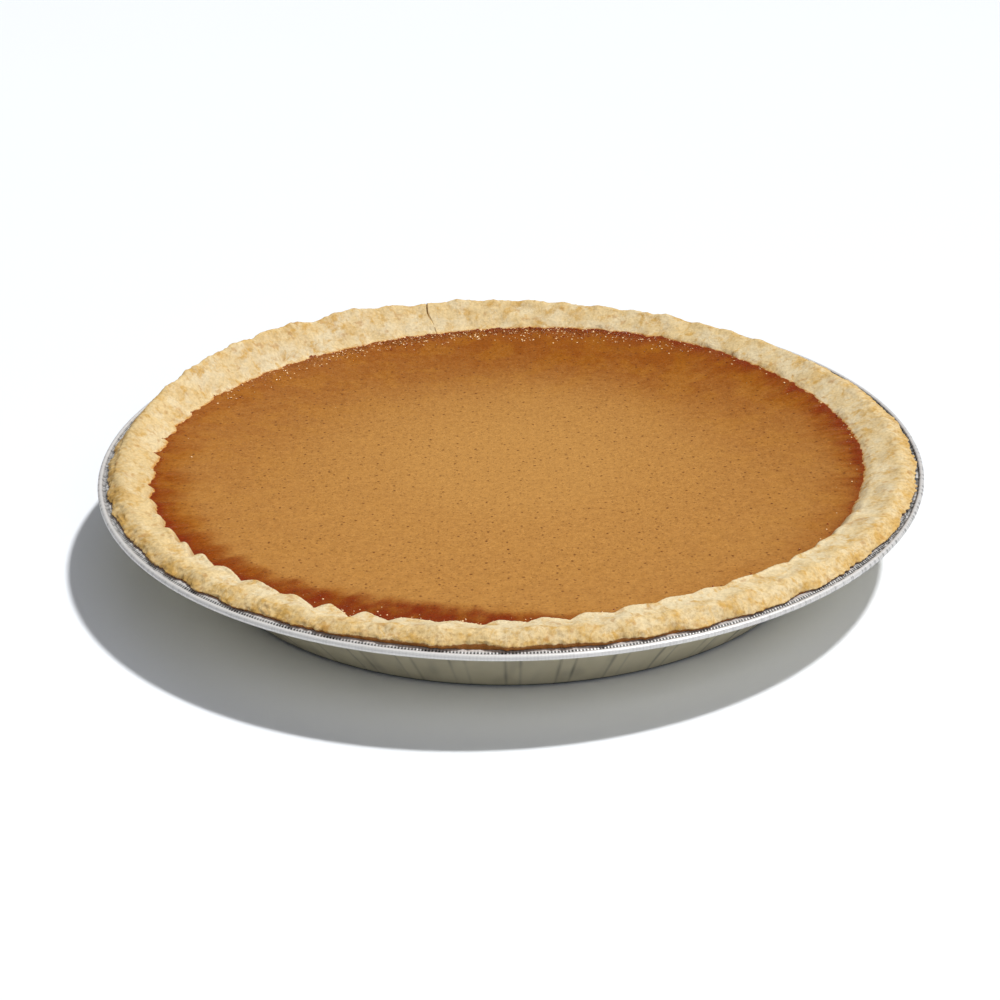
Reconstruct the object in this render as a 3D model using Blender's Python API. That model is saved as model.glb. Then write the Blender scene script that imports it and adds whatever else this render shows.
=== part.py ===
"""Pumpkin pie in its pleated foil tin.

Units are metres and +Z is up. The origin is the centre of the tin's base, which stands on Z = 0.
Azimuths are counted from +X towards +Y, seen from above. Heights of the crust and of the filling
are given above the rim plane, the level of the rolled bead's centre. Each of the three pieces is
one closed solid, built as rings of points that are stacked from the bottom centre to the top centre.
"""

import bpy
import bmesh
import numpy as np

# Tin: a nominal 9-inch pressed foil tin
RIM_RADIUS = 0.1110
RIM_HEIGHT = 0.0239
BEAD_RADIUS = 0.0008
BEAD_CORNERS = 7
BASE_RADIUS = 0.0820
HEEL_WIDTH = 0.0012
HEEL_HEIGHT = 0.0010
WALL_TOP_RADIUS = 0.1029
SHEET = 0.0004
FLANGE_RISE = 0.00045
PLEATS = 44
PLEAT_HEIGHT = 0.0005
PLEAT_CREST_SHARE = 0.12
PLEAT_FOOT_SHARE = 0.16

# Clearance between the pieces
GAP = 0.0003

# Crust: a shell of pastry that lines the tin, with a rim that lies on the flange
CRUST_FLOOR = 0.0030
CRUST_WALL = 0.0036
LIP_RADIUS = 0.0984
CREST_RADIUS = 0.1046
CREST_BACK_SHIFT = 0.0018
RIM_EDGE_RADIUS = 0.1080
EDGE_UNDERCUT = 0.0002
FOOT_RADIUS = 0.1074
CREST_HEIGHT = 0.0018
HIGH_SIDE_RISE = 0.0046
BACK_RISE = 0.0019
FRONT_RISE = 0.0026
LIP_STEP = 0.0007
LIP_LEFT_RISE = 0.0026
LIP_RIGHT_RISE = 0.0045
LIP_NOTCH_SHARE = 0.5
EDGE_HEIGHT = 0.0012
EDGE_FRONT_RISE = 0.0010
LUMP = 0.0003
FLUTE_HEIGHT = 0.00026
FLUTE_AZIMUTH = 0.6
FLUTE_LEAN = 0.35

# Crack through the rim
CRACK_AZIMUTH = 104
CRACK_FLOOR_HALF = 0.2
CRACK_MOUTH_HALF = 0.55
CRACK_DEPTH_SHARE = 0.72

# Filling: its edge runs out into pointed teeth that bite into the crust
FILLING_RADIUS = 0.0975
FILLING_EDGE_HEIGHT = -0.0010
FILLING_CLIMB = 0.0008
FILLING_DIP = 0.0018
DIP_POWER = 6
TOOTH_FADE_POWER = 12
TEETH = 60
TOOTH_AZIMUTH = 1.6
TOOTH_LEAN = 0.5
TOOTH_LENGTH = 0.0004
TOOTH_EXTRA = 0.0016
TOOTH_DRIFT = 0.8
COLUMNS_PER_TOOTH = 3

# Sides where the rim, the lip, the edge or the teeth stand out: azimuth in degrees, sharpness, and
# for some the amount
HIGH_SIDE = (136, 5.0)
BACK_SIDE = (85, 3.0)
CREST_SIDE = (95, 1.5)
FRONT_SIDE = (285, 2.0)
FRONT_EDGE = (268, 12.0)
LEFT_LIP = (225, 8.0)
RIGHT_LIP = (295, 5.0)
SHIFTED_SIDES = ((331, 7.0, 0.0025), (120, 14.0, 0.0010), (66, 12.0, -0.0014))
CLIMB_SIDE = (62, 10.0)
CREST_DENTS = ((123, 1200, -0.0012), (105.5, 900, -0.0009))
TOOTH_SIDE = (212, 1.8)

# Uneven waves: fewest and most waves in a turn, and the seed of their phases
TOOTH_WAVES = (9, 30, 11)
DRIFT_WAVES = (3, 14, 12)
CREST_WAVES = (5, 40, 21)
LIP_WAVES = (8, 50, 22)
SLOPE_WAVES = (12, 60, 23)
SHOULDER_WAVES = (12, 60, 24)
CONTACT_WAVES = (2, 12, 31)
EDGE_WAVES = (20, 70, 41)

TIN_COLOUR = (0.62, 0.62, 0.60, 1)
CRUST_COLOUR = (0.75, 0.56, 0.30, 1)
FILLING_COLOUR = (0.50, 0.23, 0.055, 1)
SMOOTH_BELOW_DEGREES = 40


def clear_scene():
    for item in list(bpy.data.objects):
        bpy.data.objects.remove(item, do_unlink=True)


def swell(azimuth, centre, sharpness):
    """A smooth bump round the turn: 1 at the centre azimuth, in degrees, and near 0 opposite."""
    return np.exp(sharpness * (np.cos(azimuth - np.radians(centre)) - 1))


def side_sum(azimuth, sides):
    """Smooth bumps added up, each given by its azimuth, its sharpness and its amount."""
    return sum(amount * swell(azimuth, centre, sharpness) for centre, sharpness, amount in sides)


def ripple(azimuth, fewest, most, seed):
    """Uneven waves round the turn: sines of whole wave counts with random phases, about 1 high."""
    counts = np.arange(fewest, most + 1)
    phases = np.random.default_rng(seed).uniform(0, 2 * np.pi, counts.size)
    waves = np.sin(np.outer(azimuth, counts) + phases)
    return waves.sum(axis=1) / np.sqrt(counts.size)


def blend(low, high, share):
    return low + share * (high - low)


def ring(azimuth, radius, height):
    """Points round the turn, at a radius and a height that may vary with the azimuth."""
    radius = radius + np.zeros_like(azimuth)
    height = height + np.zeros_like(azimuth)
    return np.stack([radius * np.cos(azimuth), radius * np.sin(azimuth), height], axis=1)


def closed_shell(name, rings, bottom, top, material):
    """One solid from a stack of rings, closed by a fan to a point at each end of the stack."""
    mesh = bpy.data.meshes.new(name)
    work = bmesh.new()
    loops = [[work.verts.new(point) for point in points] for points in rings]
    bottom_point = work.verts.new((0, 0, bottom))
    top_point = work.verts.new((0, 0, top))
    count = len(rings[0])
    pairs = [(i, (i + 1) % count) for i in range(count)]
    for lower, upper in zip(loops, loops[1:]):
        for i, j in pairs:
            work.faces.new((lower[i], lower[j], upper[j], upper[i]))
    for i, j in pairs:
        work.faces.new((loops[0][j], loops[0][i], bottom_point))
        work.faces.new((loops[-1][i], loops[-1][j], top_point))
    bmesh.ops.triangulate(work, faces=work.faces)
    work.to_mesh(mesh)
    work.free()
    mesh.materials.append(material)
    mesh.shade_smooth()
    mesh.set_sharp_from_angle(angle=np.radians(SMOOTH_BELOW_DEGREES))
    piece = bpy.data.objects.new(name, mesh)
    bpy.context.scene.collection.objects.link(piece)
    return piece


def principled(name, colour, roughness, metallic):
    material = bpy.data.materials.new(name)
    material.use_nodes = True
    shader = material.node_tree.nodes["Principled BSDF"]
    shader.inputs["Base Color"].default_value = colour
    shader.inputs["Roughness"].default_value = roughness
    shader.inputs["Metallic"].default_value = metallic
    return material


def foil():
    return principled("foil", TIN_COLOUR, roughness=0.35, metallic=1)


def pastry():
    return principled("pastry", CRUST_COLOUR, roughness=0.85, metallic=0)


def custard():
    return principled("custard", FILLING_COLOUR, roughness=0.4, metallic=0)


def pleat_azimuths():
    """Four columns a pleat, at the two feet and the two crest edges of its rib."""
    shares = (-PLEAT_FOOT_SHARE, -PLEAT_CREST_SHARE, PLEAT_CREST_SHARE, PLEAT_FOOT_SHARE)
    return 2 * np.pi / PLEATS * np.add.outer(np.arange(PLEATS), shares).ravel()


def pleat_relief():
    """How far each column of a pleat stands out of the wall: nothing at the feet of its rib."""
    return np.tile((0, PLEAT_HEIGHT, PLEAT_HEIGHT, 0), PLEATS)


def flange_top():
    return RIM_HEIGHT + FLANGE_RISE


def wall_inner(height, inset):
    """Radius of the tin's inner wall at a height, moved inwards by an inset square to the wall."""
    run = WALL_TOP_RADIUS - BASE_RADIUS - HEEL_WIDTH
    rise = flange_top() - SHEET - HEEL_HEIGHT
    slant = np.hypot(run, rise) / rise
    outer = BASE_RADIUS + HEEL_WIDTH + (height - HEEL_HEIGHT) * run / rise
    return outer - (SHEET + inset) * slant


def bead_rings(azimuth):
    """The rolled bead: an arc from the flange's underside round the outside to its top."""
    start = np.pi + np.arcsin((SHEET - FLANGE_RISE) / BEAD_RADIUS)
    end = 3 * np.pi - np.arcsin(FLANGE_RISE / BEAD_RADIUS)
    centre = RIM_RADIUS - BEAD_RADIUS
    return [
        ring(azimuth, centre + BEAD_RADIUS * np.cos(turn), RIM_HEIGHT + BEAD_RADIUS * np.sin(turn))
        for turn in np.linspace(start, end, BEAD_CORNERS)
    ]


def make_tin():
    """Base, heel, pleated wall, flange and bead on the outside, then flange, wall and base inside."""
    azimuth = pleat_azimuths()
    relief = pleat_relief()
    inner_heel = HEEL_HEIGHT + SHEET
    rings = [
        ring(azimuth, BASE_RADIUS, 0),
        ring(azimuth, BASE_RADIUS + HEEL_WIDTH, HEEL_HEIGHT),
        ring(azimuth, WALL_TOP_RADIUS + relief, flange_top() - SHEET),
        *bead_rings(azimuth),
        ring(azimuth, wall_inner(flange_top(), 0) + relief, flange_top()),
        ring(azimuth, wall_inner(inner_heel, 0), inner_heel),
        ring(azimuth, BASE_RADIUS - HEEL_WIDTH, SHEET),
    ]
    return closed_shell("foil_tin", rings, 0, SHEET, foil())


def pastry_azimuths():
    """Columns spaced like the teeth, with one on each, and four of them drawn in to the crack."""
    count = TEETH * COLUMNS_PER_TOOTH
    pitch = 360 / count
    even = TOOTH_AZIMUTH + pitch * np.arange(count)
    drifted = even - np.degrees(TOOTH_DRIFT / TEETH * ripple(np.radians(even), *DRIFT_WAVES))
    kept = drifted[np.abs(drifted - CRACK_AZIMUTH) > pitch]
    sides = np.array((-CRACK_MOUTH_HALF, -CRACK_FLOOR_HALF, CRACK_FLOOR_HALF, CRACK_MOUTH_HALF))
    return np.radians(np.sort(np.concatenate([kept, CRACK_AZIMUTH + sides])))


def in_crack(azimuth):
    """1 on the two columns of the crack's floor and 0 elsewhere."""
    away = np.abs(np.degrees(azimuth) - CRACK_AZIMUTH)
    return np.where(away < blend(CRACK_FLOOR_HALF, CRACK_MOUTH_HALF, 0.5), 1, 0)


def tooth(azimuth):
    """Pointed teeth with round bays between them: the absolute value of a sine, turned over. Its
    angle runs ahead between the teeth, so each tooth rises slowly and falls quickly. They are longest
    at the left, and uneven in length."""
    angle = TEETH * (azimuth - np.radians(TOOTH_AZIMUTH)) + TOOTH_DRIFT * ripple(azimuth, *DRIFT_WAVES)
    wave = 1 - np.abs(np.sin((angle + TOOTH_LEAN * (1 - np.cos(angle))) / 2))
    length = TOOTH_LENGTH + TOOTH_EXTRA * swell(azimuth, *TOOTH_SIDE)
    uneven = 1 + 0.45 * ripple(azimuth, *TOOTH_WAVES)
    return length * (wave * uneven - 0.3)


def crest_height(azimuth):
    """Height of the rim's crest: high at the back left, lower elsewhere, and lumpy."""
    high = HIGH_SIDE_RISE * swell(azimuth, *HIGH_SIDE)
    back = BACK_RISE * swell(azimuth, *BACK_SIDE)
    front = FRONT_RISE * swell(azimuth, *FRONT_SIDE)
    lumps = 0.8 * LUMP * ripple(azimuth, *CREST_WAVES) + flute(azimuth) + side_sum(azimuth, CREST_DENTS)
    return CREST_HEIGHT + high + back + front + lumps


def lip_height(azimuth):
    """Height of the lip: a low step over the contact with the filling, lower at each tooth. It is
    raised at the front left and more so at the front right."""
    left = LIP_LEFT_RISE * swell(azimuth, *LEFT_LIP)
    right = LIP_RIGHT_RISE * swell(azimuth, *RIGHT_LIP)
    lumps = 0.5 * LUMP * ripple(azimuth, *LIP_WAVES) - LIP_NOTCH_SHARE * tooth(azimuth)
    return contact_height(azimuth) + LIP_STEP + left + right + lumps


def crust_shift(azimuth):
    """How far the crust's inner side stands further in than elsewhere."""
    return side_sum(azimuth, SHIFTED_SIDES)


def flute(azimuth):
    """Soft flutes pressed across the rim, one for each tooth: a wave that rises slowly and falls
    quickly, as a sine less some of the sine of twice its angle."""
    angle = TEETH * (azimuth - np.radians(FLUTE_AZIMUTH))
    return FLUTE_HEIGHT * (np.sin(angle) - FLUTE_LEAN * np.sin(2 * angle))


def edge_height(azimuth):
    """Height of the rim's outer edge: low over the flange, but turned up along the front."""
    return EDGE_HEIGHT + EDGE_FRONT_RISE * swell(azimuth, *FRONT_EDGE)


def filling_contact(azimuth):
    """Radius of the line where the filling meets the crust, which is wider at the front right."""
    uneven = 0.7 * LUMP * ripple(azimuth, *CONTACT_WAVES)
    return FILLING_RADIUS + tooth(azimuth) + uneven - crust_shift(azimuth)


def contact_height(azimuth):
    """Height of the filling's edge, which climbs up the crust a little at the back right."""
    return FILLING_EDGE_HEIGHT + FILLING_CLIMB * swell(azimuth, *CLIMB_SIDE)


def rim_rings(azimuth, foot):
    """The pastry's rim from its foot on the flange, round its ragged outer edge and over its crest
    to the lip. The lower edge is cut under, and all of it is let down towards the foot in the crack."""
    crest = crest_height(azimuth)
    lip = lip_height(azimuth)
    edge = edge_height(azimuth)
    teeth = tooth(azimuth)
    crest_radius = CREST_RADIUS + CREST_BACK_SHIFT * swell(azimuth, *CREST_SIDE)
    lip_radius = LIP_RADIUS + 0.9 * teeth - 0.8 * crust_shift(azimuth)
    edge_radius = RIM_EDGE_RADIUS + 1.3 * LUMP * ripple(azimuth, *EDGE_WAVES)
    shoulder = blend(edge, crest, 0.6) + 0.7 * LUMP * ripple(azimuth, *SHOULDER_WAVES)
    upper_slope = blend(lip, crest, 0.68) + 0.7 * LUMP * ripple(azimuth, *SLOPE_WAVES)
    profile = [
        (edge_radius - EDGE_UNDERCUT, blend(foot, edge, 0.25)),
        (edge_radius - 0.3 * EDGE_UNDERCUT, blend(foot, edge, 0.65)),
        (edge_radius, edge),
        (blend(crest_radius, RIM_EDGE_RADIUS, 0.55), shoulder),
        (crest_radius, crest),
        (blend(lip_radius, crest_radius, 0.62), upper_slope),
        (blend(lip_radius, crest_radius, 0.24), blend(lip, crest, 0.28)),
        (lip_radius, lip),
    ]
    let_down = CRACK_DEPTH_SHARE * in_crack(azimuth)
    return [ring(azimuth, r, RIM_HEIGHT + blend(z, foot, let_down)) for r, z in profile]


def make_crust():
    """Floor, wall and rim on the outside, then the wall and floor that hold the filling."""
    azimuth = pastry_azimuths()
    foot = GAP + FLANGE_RISE
    outer_heel = SHEET + HEEL_HEIGHT + GAP
    inner_floor = SHEET + GAP + CRUST_FLOOR
    rings = [
        ring(azimuth, BASE_RADIUS - HEEL_WIDTH - GAP, SHEET + GAP),
        ring(azimuth, wall_inner(outer_heel, GAP), outer_heel),
        ring(azimuth, wall_inner(RIM_HEIGHT + foot, GAP), RIM_HEIGHT + foot),
        ring(azimuth, FOOT_RADIUS, RIM_HEIGHT + foot),
        *rim_rings(azimuth, foot),
        ring(azimuth, filling_contact(azimuth), RIM_HEIGHT + contact_height(azimuth)),
        ring(azimuth, wall_inner(inner_floor, GAP + CRUST_WALL), inner_floor),
    ]
    return closed_shell("pie_crust", rings, SHEET + GAP, inner_floor, pastry())


def filling_ring(azimuth, share):
    """A ring of the filling's surface at a share of its radius. The surface is flat in the middle
    and curves up to its edge. The teeth and the climb at the back right fade out a little way in."""
    out = filling_contact(azimuth) - 1.3 * GAP - FILLING_RADIUS
    radius = FILLING_RADIUS * share + out * share**TOOTH_FADE_POWER
    climb = (contact_height(azimuth) - FILLING_EDGE_HEIGHT) * share**TOOTH_FADE_POWER
    return ring(azimuth, radius, filling_height(share) + climb)


def filling_height(share):
    return RIM_HEIGHT + FILLING_EDGE_HEIGHT - FILLING_DIP * (1 - share**DIP_POWER)


def make_filling():
    """Floor and side against the crust, then the open surface."""
    azimuth = pastry_azimuths()
    floor = SHEET + 2 * GAP + CRUST_FLOOR
    rings = [
        ring(azimuth, wall_inner(floor, 2 * GAP + CRUST_WALL), floor),
        *[filling_ring(azimuth, share) for share in (1, 0.96, 0.88, 0.76, 0.5)],
    ]
    return closed_shell("pumpkin_filling", rings, floor, filling_height(0), custard())


clear_scene()
make_tin()
make_crust()
make_filling()
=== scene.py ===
"""Looks of a pumpkin pie in its pleated foil tin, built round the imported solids.

Units are metres and +Z is up. Azimuths are counted from +X towards +Y, seen from above. Heights of the
crust and of the filling are given above the rim plane, the level of the rolled bead's centre. The main
forms repeat the solids' named values and formulas. Each piece is a closed surface on a grid, whose rows
are stacked from the bottom centre over the outside to the top centre, and whose columns go round.
"""

import bpy
import numpy as np
from mathutils import Matrix, Vector


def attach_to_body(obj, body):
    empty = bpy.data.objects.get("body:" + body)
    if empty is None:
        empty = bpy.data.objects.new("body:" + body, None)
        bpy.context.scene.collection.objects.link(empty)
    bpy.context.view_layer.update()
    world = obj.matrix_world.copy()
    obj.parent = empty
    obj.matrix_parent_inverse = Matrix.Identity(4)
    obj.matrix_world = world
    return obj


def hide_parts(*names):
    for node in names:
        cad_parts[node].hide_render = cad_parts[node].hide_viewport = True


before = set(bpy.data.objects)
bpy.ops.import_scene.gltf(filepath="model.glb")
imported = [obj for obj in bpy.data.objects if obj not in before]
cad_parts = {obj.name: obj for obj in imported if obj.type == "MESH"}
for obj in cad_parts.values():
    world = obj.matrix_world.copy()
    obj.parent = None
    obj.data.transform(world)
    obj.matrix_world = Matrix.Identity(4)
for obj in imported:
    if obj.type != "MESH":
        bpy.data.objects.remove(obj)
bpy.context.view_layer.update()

# Tin: a nominal 9-inch pressed foil tin
RIM_RADIUS = 0.1110
RIM_HEIGHT = 0.0239
BEAD_RADIUS = 0.0008
BASE_RADIUS = 0.0820
HEEL_WIDTH = 0.0012
HEEL_HEIGHT = 0.0010
WALL_TOP_RADIUS = 0.1029
SHEET = 0.0004
FLANGE_RISE = 0.00045
CORE_RADIUS = 0.3 * BASE_RADIUS
BASE_RINGS = ((CORE_RADIUS, 0), (BASE_RADIUS - HEEL_WIDTH, 0), (BASE_RADIUS, 0.1 * HEEL_HEIGHT),
              (BASE_RADIUS + 0.6 * HEEL_WIDTH, 0.45 * HEEL_HEIGHT))
PLEATS = 44
PLEAT_HEIGHT = 0.0005
PLEAT_CREST_SHARE = 0.12
PLEAT_FOOT_SHARE = 0.16
COLUMNS_PER_PLEAT = 36
WALL_ROWS = 26
WALL_DENT = 0.00026
DENT_REACH = 0.010

# Painted shade on the tin's wall: dark creases beside the ribs, whose strength varies at random, dark
# streaks in place of its uneven reflections, and a dark heel. A crease fades and is whole at two shares
# of the pitch from a rib's flank
CREASE_REACH = (0.050, 0.005)
CREASE_SHADE = 0.50
STREAK_SHADE = 0.30
STREAK_REACH = 0.012
HEEL_SHADE = 0.12
CREASE_SHADE_MIDDLE = 0.65
CREASE_SHADE_SPREAD = 0.5
WALL_FADE = 0.12

# Rim of the tin: a wrinkled flange, a groove with fine notches, and a bead knurled at the sides
NOTCHES = 850
COLUMNS_PER_NOTCH = 4
NOTCH_DEPTH = 0.00012
FLANGE_NOTCH_DEPTH = 0.00004
NOTCH_MIDDLE = 0.75
NOTCH_SPREAD = 0.35
GROOVE_DEPTH = 0.00026
GROOVE_RADIUS = 0.10915
GROOVE_HALF_WIDTH = 0.00055
GROOVE_SHARES = np.array((0.6, 0.25, -0.25, -0.6, -1))
FLANGE_RADII = (0.1083, 0.1077, 0.1070, 0.1060)
UNDERSIDE_RADIUS = 0.1080
WRINKLE_HEIGHT = 0.00010
WRINKLE_STRETCH = 4
BUCKLE_STRETCH = 3
BEAD_ROWS = 11
KNURL_DEPTH = 0.00006
KNURL_SIDES = ((355, 3.0, 1.0), (175, 3.0, 0.8))
KNURL_FADE = (-0.1, 0.25)
KNURL_FLANGE_SHARE = 0.7

# Painted shade on the tin's rim, by place, and the side where it is fainter
GROOVE_SHADE = 0.25
NOTCH_SHADE = 1.1
FLANGE_SHADE = 0.30
BEAD_SHADE = 0.22
KNURL_SHADE = 0.55
FAINT_SHADE_SIDE = (185, 1.5)
FAINT_SHADE_SHARE = 0.45

# Crust: a shell of pastry that lines the tin, with a rim that lies on the flange
GAP = 0.0003
CRUST_FLOOR = 0.0030
CRUST_WALL = 0.0036
LIP_RADIUS = 0.0984
CREST_RADIUS = 0.1046
CREST_BACK_SHIFT = 0.0018
RIM_EDGE_RADIUS = 0.1080
EDGE_UNDERCUT = 0.0002
FOOT_RADIUS = 0.1074
FOOT_CLEARANCE = 0.00005
CREST_HEIGHT = 0.0018
HIGH_SIDE_RISE = 0.0046
BACK_RISE = 0.0019
FRONT_RISE = 0.0026
LIP_STEP = 0.0007
LIP_LEFT_RISE = 0.0026
LIP_RIGHT_RISE = 0.0045
LIP_NOTCH_SHARE = 0.5
LIP_TOOTH_SHARE = 0.9
LIP_SHIFT_SHARE = 0.8
EDGE_HEIGHT = 0.0012
EDGE_FRONT_RISE = 0.0010
LUMP = 0.0003
CREST_LUMP = 0.8 * LUMP
LIP_LUMP = 0.5 * LUMP
SLOPE_LUMP = 0.7 * LUMP
EDGE_LUMP = 1.3 * LUMP
CONTACT_LUMP = 0.7 * LUMP
FLUTE_HEIGHT = 0.00026
FLUTE_AZIMUTH = 0.6
FLUTE_LEAN = 0.35
CRUST_COLUMNS = 1440
FLOW_STRETCH = 2.6

# Rings of the crust, and the rows between them
FOOT, UNDERCUT, LOWER_EDGE, EDGE, SHOULDER, CREST, UPPER_SLOPE, SLOPE, LIP, CONTACT = range(10)
CRUST_ROWS = (2, 4, 5, 9, 9, 9, 8, 7, 5)

# Rings between two others: their shares of the way out and up
UNDERCUT_UP = 0.25
LOWER_EDGE_CUT, LOWER_EDGE_UP = 0.3, 0.65
SHOULDER_OUT, SHOULDER_UP = 0.55, 0.6
UPPER_SLOPE_OUT, UPPER_SLOPE_UP = 0.62, 0.68
SLOPE_OUT, SLOPE_UP = 0.24, 0.28

# Relief of the crust, its share on the inner slope and the lip, and the sides that differ
CRUMB_HEIGHT = 0.00030
GRAIN_HEIGHT = 0.00007
SWELL_HEIGHT = 0.00015
INNER_CRUMBS = 0.15
INNER_GRAIN = 0.12
LIP_GRAIN = 2.5
WORN_FLUTES = 0.2
ROUGH_SIDE = (190, 2.0)
ROUGH_SHARE = 0.7
SMOOTH_SIDE = (330, 3.0)
SMOOTH_SHARE = 0.6
RAGGED_EDGE = 0.00045
EDGE_SPREAD = 0.0006
SPREAD_SIDE = (358, 3.0)

# Contact with the filling, which the crust runs on under
CONTACT_LAP = 0.0007
CONTACT_DROP = 0.0002
CONTACT_JAG = 0.00035
CONTACT_BAY = 0.0011
BAY_SIDE = (55, 3)

# Crack through the rim: a zigzag from the outer edge to the filling
CRACK_AZIMUTH = 104
CRACK_COLUMNS = 90
CRACK_SPREAD = 1.5
CRACK_DEPTH_SHARE = 0.72
CRACK_TURNS = ((EDGE, 0.0), (SHOULDER, 0.0004), (CREST, -0.0003), (UPPER_SLOPE, 0.0003),
               (SLOPE, -0.0007), (LIP, -0.0012), (CONTACT, -0.0013))
CRACK_HALF_WIDTHS = ((EDGE, 0.00030), (CREST, 0.00025), (UPPER_SLOPE, 0.00024), (CONTACT, 0.00026))
CRACK_DEPTHS = ((EDGE, 1.0), (CREST, 0.7), (UPPER_SLOPE, 0.5), (SLOPE, 0.5), (LIP, 0.8), (CONTACT, 0.6))
CRACK_CORE = 0.3

# How golden, burnt and stained the crust is, and the sides that are paler or dimmer. Of these, the
# paler right side is painted light and the dimmer left side painted shade
GOLDEN_OUTER = 0.42
GOLDEN_CRUMBS = 0.7
GOLDEN_SWELLS = 0.3
GOLDEN_EDGE = 0.5
BURNT_EDGE = 0.8
BURNT_CRACK = 0.35
STAINED_LIP = 0.8
# Pale pastry at the front and back left, and painted light on the right inner slope, which faces away
# from the key
PALE_SIDES = ((262, 2.0, 0.75), (142, 6.0, 0.40), (5, 2.0, 0.30))
# Painted shade that dims the whole left side
PAINTED_SHADE_SIDE = (188, 5.0)
PAINTED_SHADE_SHARE = 0.4
FAIR_SIDE = (312, 3.0)
FAIR_SHARE = 0.25

# Filling: its edge runs out into pointed teeth that bite into the crust
FILLING_RADIUS = 0.0975
FILLING_EDGE_HEIGHT = -0.0010
FILLING_CLIMB = 0.0008
FILLING_DIP = 0.0018
DIP_POWER = 6
TOOTH_FADE_POWER = 12
TEETH = 60
TOOTH_AZIMUTH = 1.6
TOOTH_LEAN = 0.5
TOOTH_LENGTH = 0.0004
TOOTH_EXTRA = 0.0016
TOOTH_DRIFT = 0.8
TOOTH_UNEVEN = 0.45
TOOTH_SET_BACK = 0.3
FILLING_COLUMNS = 1440
FILLING_LAP = 0.0006
FILLING_EDGE_ROWS = 38
FILLING_INNER_ROWS = 22
FILLING_EDGE_SHARE = 0.86
FILLING_CORE_SHARE = 0.02

# Skin of the filling: its noise runs over this reach, and each fade goes from one inset to another
SKIN_REACH = 0.097
FOLD_HEIGHT = 0.00024
FOLD_STRETCH = 3
FOLD_SIDES = ((190, 4, 1), (10, 4, 1))
LEAST_FOLDS = 0.25
FOLD_FADE = (0.014, 0.003)
RIM_FADE = (0.0, 0.0006)
WAVE_HEIGHT = 0.00012
WAVE_FADE = (0.0, 0.004)
BLISTER_HEIGHT = 0.00016
BLISTER_FADE = (0.006, 0.001)
BLISTER_SIDES = ((106, 6.0, 1.0), (80, 8.0, 0.4), (268, 14.0, 0.9), (288, 40.0, 0.5), (0, 4.0, 0.04))
GLOSS_FADE = (0.009, 0.003)
PATCH_FADE = (0.006, 0.002)
PATCH_EDGE = (0.1, 0.6)

# Caramel along the crust: darker and wider sides, tongues at the right, a sharp band at the front left
CARAMEL_LEAST = 0.45
CARAMEL_SIDES = ((228, 3.5, 0.80), (264, 9.0, 0.80), (14, 4.0, 0.32), (75, 3.0, 0.40))
CARAMEL_LEAST_WIDTH = 0.0032
CARAMEL_WIDTHS = ((225, 3.5, 0.0085), (262, 9.0, 0.0092), (14, 5.0, 0.0078), (70, 5.0, 0.0055))
CARAMEL_OUTER_STEP = (1.15, 0.25)
CARAMEL_INNER_STEP = (0.42, 0.05)
CARAMEL_FOLDS = 0.03
TONGUE_SHARE = 0.34
TONGUE_SIDE = (22, 4.0)
TONGUE_STRETCH = 4
SHARP_SIDE = (258, 7.0)
SHARP_SHARE = 0.8
SHARP_STEP = (1.05, 0.70)
BLOTCH_MIDDLE = 0.42
BLOTCH_SPREAD = 0.40

# Toast on the filling: away from its middle, at some sides, in a rind and under the sharp caramel
HEART_TOAST = 0.14
HEART_FADE = (0.018, 0.042)
TOAST_SIDES = ((72, 1.4, 0.84), (155, 3.0, 0.22))
TOAST_FADE = (0.060, 0.014)
RIND_TOAST = 0.12
RIND_SIDES = ((5, 3.0, 0.25), (215, 3.0, 0.60))
RIND_FADE = (0.016, 0.003)
SHARP_TOAST = 0.7
WAVE_CLOUD = 0.005
FOLD_CLOUD = 0.0006

# Beads of syrup on the filling, beside the crust
SYRUP_BEADS = 1500
SYRUP_REACH = 0.11
SYRUP_LEAST = 0.00010
SYRUP_MOST = 0.00034
SYRUP_TRIES = 30
SYRUP_CROWDING = (1.2, 2.5)
SYRUP_COLUMNS = 8
SYRUP_RINGS = 5
SYRUP_FLATNESS = 0.6
SYRUP_SEED = 81

# Sides where the rim, the lip, the edge or the teeth stand out: azimuth in degrees, and sharpness
HIGH_SIDE = (136, 5.0)
BACK_SIDE = (85, 3.0)
CREST_SIDE = (95, 1.5)
FRONT_SIDE = (285, 2.0)
FRONT_EDGE = (268, 12.0)
LEFT_LIP = (225, 8.0)
RIGHT_LIP = (295, 5.0)
SHIFTED_SIDES = ((331, 7.0, 0.0025), (120, 14.0, 0.0010), (66, 12.0, -0.0014))
CLIMB_SIDE = (62, 10.0)
CREST_DENTS = ((123, 1200, -0.0012), (105.5, 900, -0.0009))
TOOTH_SIDE = (212, 1.8)

# Uneven waves: fewest and most waves in a turn, and the seed of their phases
TOOTH_WAVES = (9, 30, 11)
DRIFT_WAVES = (3, 14, 12)
CREST_WAVES = (5, 40, 21)
LIP_WAVES = (8, 50, 22)
SLOPE_WAVES = (12, 60, 23)
SHOULDER_WAVES = (12, 60, 24)
CONTACT_WAVES = (2, 12, 31)
EDGE_WAVES = (20, 70, 41)

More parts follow.
